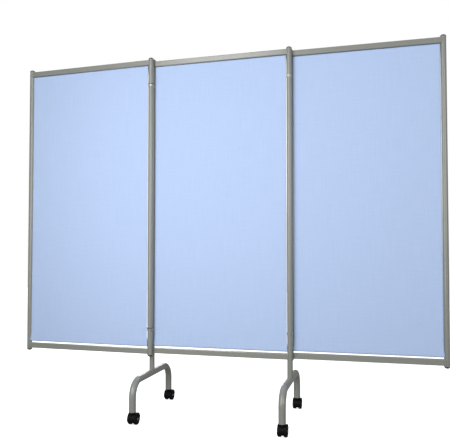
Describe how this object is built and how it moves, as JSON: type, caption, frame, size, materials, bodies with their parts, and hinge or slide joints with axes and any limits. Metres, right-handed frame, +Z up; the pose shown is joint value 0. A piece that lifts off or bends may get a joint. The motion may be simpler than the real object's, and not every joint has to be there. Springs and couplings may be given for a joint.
{
  "type": "folding privacy screen",
  "caption": "Folding partition screen of cloth panels in tube frames, standing on inverted-U legs with twin-wheel casters.",
  "frame": {"origin": "on the floor, midway between the two posts of the middle panel", "axes": "+X along the middle panel to the right, -Y to the front, +Z up"},
  "size_m": [2.0576, 0.5082, 1.733],
  "materials": {
    "frame_paint": "semi-gloss grey-beige powder coat on steel tube",
    "cloth": "plain woven light blue screen cloth",
    "hinge_steel": "bright plated strip",
    "cap_plastic": "moulded, near black",
    "nylon": "moulded nylon",
    "bright_steel": "zinc plated",
    "caster_plastic": "moulded black nylon"
  },
  "bodies": {
    "middle_panel": {"middle_post_left": "frame_paint", "middle_post_right": "frame_paint", "middle_rail_top": "frame_paint", "middle_rail_bottom": "frame_paint", "middle_caps": "cap_plastic", "middle_fabric": "cloth", "middle_rod_top": "bright_steel", "middle_rod_bottom": "bright_steel", "middle_rod_plugs": "nylon", "middle_rod_springs": "bright_steel", "base_left": "frame_paint", "base_right": "frame_paint", "left_hinge_band_upper": "hinge_steel", "left_hinge_band_lower": "hinge_steel", "left_hinge_rivets": "bright_steel", "right_hinge_band_upper": "hinge_steel", "right_hinge_band_lower": "hinge_steel", "right_hinge_rivets": "bright_steel", "caster_sockets": "caster_plastic", "caster_stems": "bright_steel"},
    "left_panel": {"left_post_inner": "frame_paint", "left_post_outer": "frame_paint", "left_rail_top": "frame_paint", "left_rail_bottom": "frame_paint", "left_caps": "cap_plastic", "left_fabric": "cloth", "left_rod_top": "bright_steel", "left_rod_bottom": "bright_steel", "left_rod_plugs": "nylon", "left_rod_springs": "bright_steel", "left_hinge_collars": "nylon"},
    "right_panel": {"right_post_inner": "frame_paint", "right_post_outer": "frame_paint", "right_rail_top": "frame_paint", "right_rail_bottom": "frame_paint", "right_caps": "cap_plastic", "right_fabric": "cloth", "right_rod_top": "bright_steel", "right_rod_bottom": "bright_steel", "right_rod_plugs": "nylon", "right_rod_springs": "bright_steel", "right_hinge_collars": "nylon"},
    "front_left_caster": {"front_left_hood": "caster_plastic", "front_left_axle": "bright_steel"},
    "front_left_wheel_a_body": {"front_left_wheel_a": "caster_plastic"},
    "front_left_wheel_b_body": {"front_left_wheel_b": "caster_plastic"},
    "rear_left_caster": {"rear_left_hood": "caster_plastic", "rear_left_axle": "bright_steel"},
    "rear_left_wheel_a_body": {"rear_left_wheel_a": "caster_plastic"},
    "rear_left_wheel_b_body": {"rear_left_wheel_b": "caster_plastic"},
    "front_right_caster": {"front_right_hood": "caster_plastic", "front_right_axle": "bright_steel"},
    "front_right_wheel_a_body": {"front_right_wheel_a": "caster_plastic"},
    "front_right_wheel_b_body": {"front_right_wheel_b": "caster_plastic"},
    "rear_right_caster": {"rear_right_hood": "caster_plastic", "rear_right_axle": "bright_steel"},
    "rear_right_wheel_a_body": {"rear_right_wheel_a": "caster_plastic"},
    "rear_right_wheel_b_body": {"rear_right_wheel_b": "caster_plastic"}
  },
  "joints": [
    {"name": "left_fold", "type": "hinge", "parent": "middle_panel", "child": "left_panel", "pos_m": [-0.33875, -0.0274, 1], "axis": [0, 0, 1], "range_deg": [-16.5, 181.5]},
    {"name": "right_fold", "type": "hinge", "parent": "middle_panel", "child": "right_panel", "pos_m": [0.33875, 0.0274, 1], "axis": [0, 0, 1], "range_deg": [-18.5, 179.5]},
    {"name": "front_left_swivel", "type": "hinge", "parent": "middle_panel", "child": "front_left_caster", "pos_m": [-0.33875, -0.225, 0.045], "axis": [0, 0, 1], "continuous": true},
    {"name": "front_left_roll_a", "type": "hinge", "parent": "front_left_caster", "child": "front_left_wheel_a_body", "pos_m": [-0.33875, -0.211, 0.025], "axis": [1, 0, 0], "continuous": true},
    {"name": "front_left_roll_b", "type": "hinge", "parent": "front_left_caster", "child": "front_left_wheel_b_body", "pos_m": [-0.33875, -0.211, 0.025], "axis": [1, 0, 0], "continuous": true},
    {"name": "rear_left_swivel", "type": "hinge", "parent": "middle_panel", "child": "rear_left_caster", "pos_m": [-0.33875, 0.225, 0.045], "axis": [0, 0, 1], "continuous": true},
    {"name": "rear_left_roll_a", "type": "hinge", "parent": "rear_left_caster", "child": "rear_left_wheel_a_body", "pos_m": [-0.33875, 0.239, 0.025], "axis": [1, 0, 0], "continuous": true},
    {"name": "rear_left_roll_b", "type": "hinge", "parent": "rear_left_caster", "child": "rear_left_wheel_b_body", "pos_m": [-0.33875, 0.239, 0.025], "axis": [1, 0, 0], "continuous": true},
    {"name": "front_right_swivel", "type": "hinge", "parent": "middle_panel", "child": "front_right_caster", "pos_m": [0.33875, -0.225, 0.045], "axis": [0, 0, 1], "continuous": true},
    {"name": "front_right_roll_a", "type": "hinge", "parent": "front_right_caster", "child": "front_right_wheel_a_body", "pos_m": [0.33875, -0.211, 0.025], "axis": [1, 0, 0], "continuous": true},
    {"name": "front_right_roll_b", "type": "hinge", "parent": "front_right_caster", "child": "front_right_wheel_b_body", "pos_m": [0.33875, -0.211, 0.025], "axis": [1, 0, 0], "continuous": true},
    {"name": "rear_right_swivel", "type": "hinge", "parent": "middle_panel", "child": "rear_right_caster", "pos_m": [0.33875, 0.225, 0.045], "axis": [0, 0, 1], "continuous": true},
    {"name": "rear_right_roll_a", "type": "hinge", "parent": "rear_right_caster", "child": "rear_right_wheel_a_body", "pos_m": [0.33875, 0.239, 0.025], "axis": [1, 0, 0], "continuous": true},
    {"name": "rear_right_roll_b", "type": "hinge", "parent": "rear_right_caster", "child": "rear_right_wheel_b_body", "pos_m": [0.33875, 0.239, 0.025], "axis": [1, 0, 0], "continuous": true}
  ]
}
